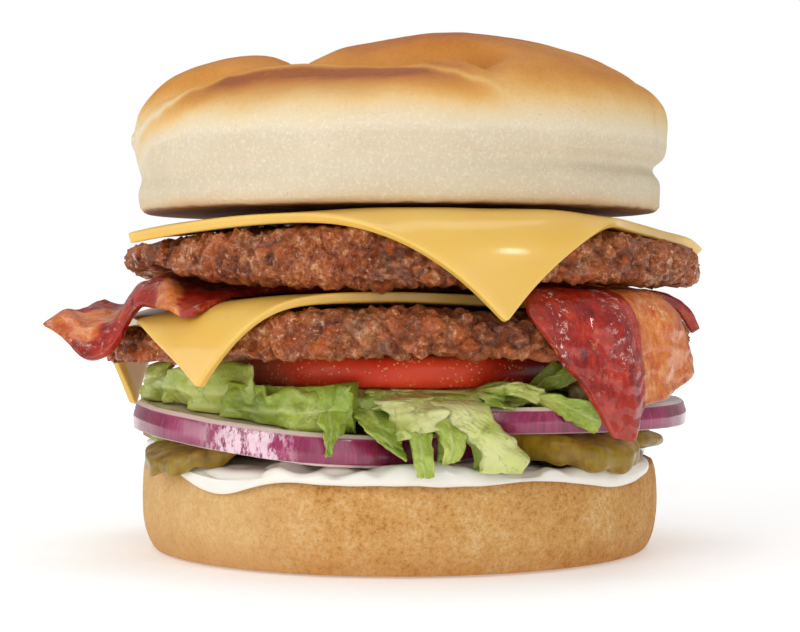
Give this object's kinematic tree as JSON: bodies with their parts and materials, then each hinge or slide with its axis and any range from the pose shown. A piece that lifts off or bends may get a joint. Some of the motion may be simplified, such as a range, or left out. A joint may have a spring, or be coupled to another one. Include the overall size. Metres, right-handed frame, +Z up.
{
  "type": "hamburger",
  "caption": "Double cheeseburger with bacon, lettuce, tomato, red onion, pickles and mayonnaise between the crown and heel of a glossy knotted bun",
  "frame": {"origin": "centre of the heel's flat underside", "axes": "+Z up from the heel to the crown, -Y towards the front, where two corners of cheese hang down, and +X to the right of a viewer who faces the front"},
  "size_m": [0.1375, 0.1259, 0.1094],
  "materials": {
    "crown_crust": "golden brown baked crust with a soft sheen, pale at the sides",
    "heel_crumb": "tan bread, toasted dark at the cut rim",
    "seared_beef": "coarse seared ground beef, moist",
    "melted_cheese": "smooth soft melted cheese",
    "fried_bacon": "glossy fried meat with bands of fat",
    "tomato_flesh": "wet red skin",
    "red_onion": "shiny purple skin with pale cut faces",
    "lettuce_leaf": "crisp thin green leaf",
    "pickle_flesh": "wet olive green",
    "mayonnaise_white": "smooth glossy white"
  },
  "bodies": {
    "root": {"heel_bun": "heel_crumb", "mayonnaise": "mayonnaise_white", "pickle_left_side": "pickle_flesh", "pickle_left_front": "pickle_flesh", "pickle_right_front": "pickle_flesh", "pickle_right_side": "pickle_flesh", "pickle_back": "pickle_flesh", "onion_left": "red_onion", "onion_right": "red_onion", "lettuce": "lettuce_leaf", "tomato_slice": "tomato_flesh", "patty_lower": "seared_beef", "cheese_lower": "melted_cheese", "bacon_left": "fried_bacon", "bacon_right": "fried_bacon", "patty_upper": "seared_beef", "cheese_upper": "melted_cheese", "crown_bun": "crown_crust"}
  },
  "joints": []
}
